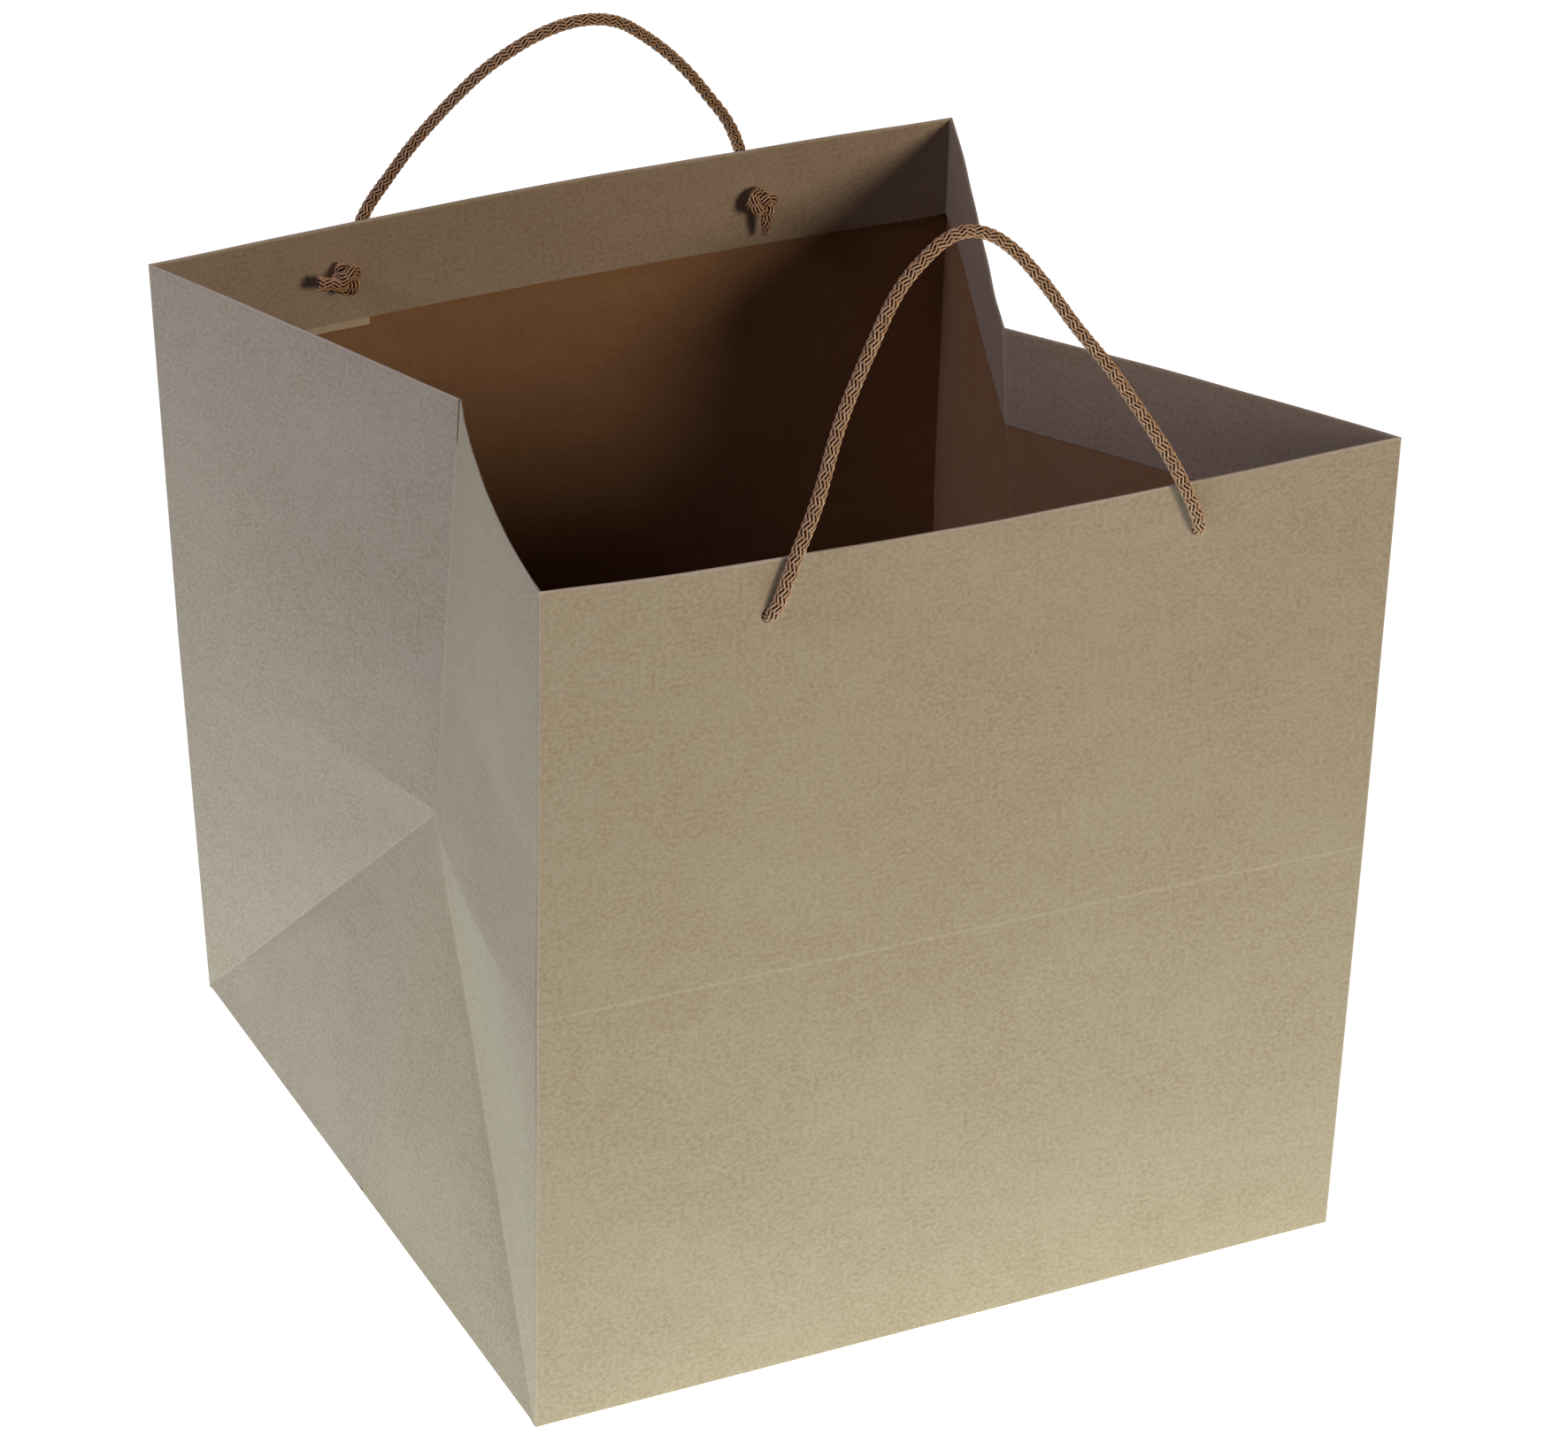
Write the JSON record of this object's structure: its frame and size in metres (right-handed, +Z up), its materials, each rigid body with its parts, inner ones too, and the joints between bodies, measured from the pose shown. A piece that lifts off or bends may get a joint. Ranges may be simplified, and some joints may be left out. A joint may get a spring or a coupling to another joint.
{
  "type": "gift bag",
  "caption": "Square gusseted kraft paper gift bag, open at the top, with a turned hem and knotted braided rope handles that swing out and bend in over the rim.",
  "frame": {"origin": "centre of the bag's footprint, on the floor under the bottom", "axes": "+Z up out of the mouth, front panel faces -Y, +X to the right as seen from the front"},
  "size_m": [0.32, 0.32, 0.4162],
  "materials": {
    "kraft_paper": "matte",
    "grey_card": "matte",
    "brown_rope": "matte"
  },
  "bodies": {
    "bag": {"front_panel": "kraft_paper", "back_panel": "kraft_paper", "left_gusset_fore": "kraft_paper", "left_gusset_rear": "kraft_paper", "right_gusset_fore": "kraft_paper", "right_gusset_rear": "kraft_paper", "left_lower_triangle": "kraft_paper", "right_lower_triangle": "kraft_paper", "side_seam_tab": "kraft_paper", "bottom_front_flap": "kraft_paper", "bottom_rear_flap": "kraft_paper", "bottom_left_flap": "kraft_paper", "bottom_right_flap": "kraft_paper", "front_hem": "kraft_paper", "back_hem": "kraft_paper", "left_gusset_fore_hem": "kraft_paper", "left_gusset_rear_hem": "kraft_paper", "right_gusset_fore_hem": "kraft_paper", "right_gusset_rear_hem": "kraft_paper", "base_board": "grey_card", "front_hem_card": "grey_card", "back_hem_card": "grey_card", "front_left_knot": "brown_rope", "front_right_knot": "brown_rope", "back_left_knot": "brown_rope", "back_right_knot": "brown_rope"},
    "front_rope_legs": {"front_left_rope_leg": "brown_rope", "front_right_rope_leg": "brown_rope"},
    "front_loop": {"front_rope_loop": "brown_rope"},
    "back_rope_legs": {"back_left_rope_leg": "brown_rope", "back_right_rope_leg": "brown_rope"},
    "back_loop": {"back_rope_loop": "brown_rope"}
  },
  "joints": [
    {"name": "front_handle_swing", "type": "hinge", "parent": "bag", "child": "front_rope_legs", "pos_m": [0, -0.15346, 0.29894], "axis": [1, 0, 0], "range_deg": [0, 172]},
    {"name": "front_handle_bend", "type": "hinge", "parent": "front_rope_legs", "child": "front_loop", "pos_m": [0, -0.15269, 0.32353], "axis": [-1, 0, 0], "range_deg": [-6, 82]},
    {"name": "back_handle_swing", "type": "hinge", "parent": "bag", "child": "back_rope_legs", "pos_m": [0, 0.15346, 0.29894], "axis": [-1, 0, 0], "range_deg": [0, 172]},
    {"name": "back_handle_bend", "type": "hinge", "parent": "back_rope_legs", "child": "back_loop", "pos_m": [0, 0.15269, 0.32353], "axis": [1, 0, 0], "range_deg": [-22, 66]}
  ]
}
